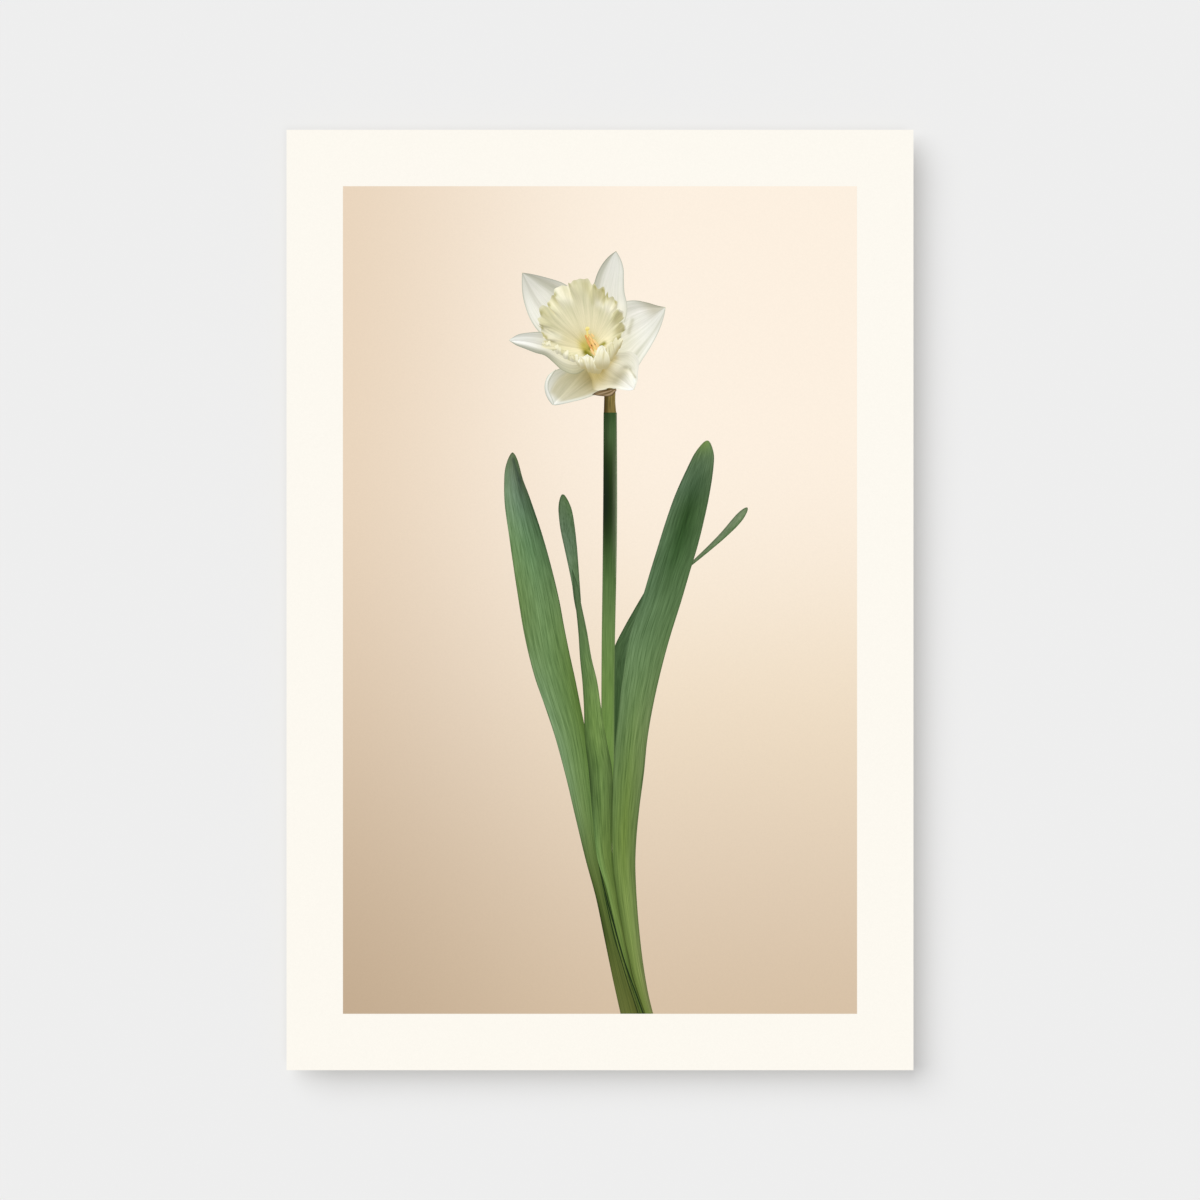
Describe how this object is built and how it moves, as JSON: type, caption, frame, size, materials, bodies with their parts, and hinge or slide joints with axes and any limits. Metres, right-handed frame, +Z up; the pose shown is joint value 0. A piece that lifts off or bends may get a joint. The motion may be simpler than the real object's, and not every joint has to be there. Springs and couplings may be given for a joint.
{
  "type": "art print",
  "caption": "Loose art print: a flat cut sheet of matte paper with an even bare margin round a botanical picture of a narcissus, fixed to a wall by its back.",
  "frame": {"origin": "centre of the sheet's flat back face, where it is fixed to a wall", "axes": "+Z up along the sheet's height, +X along its width, +Y out of its back into the wall; the printed face looks along -Y"},
  "size_m": [0.4, 0.0003, 0.6],
  "materials": {
    "paper": "matte"
  },
  "bodies": {
    "root": {"print_sheet": "paper"}
  },
  "joints": []
}
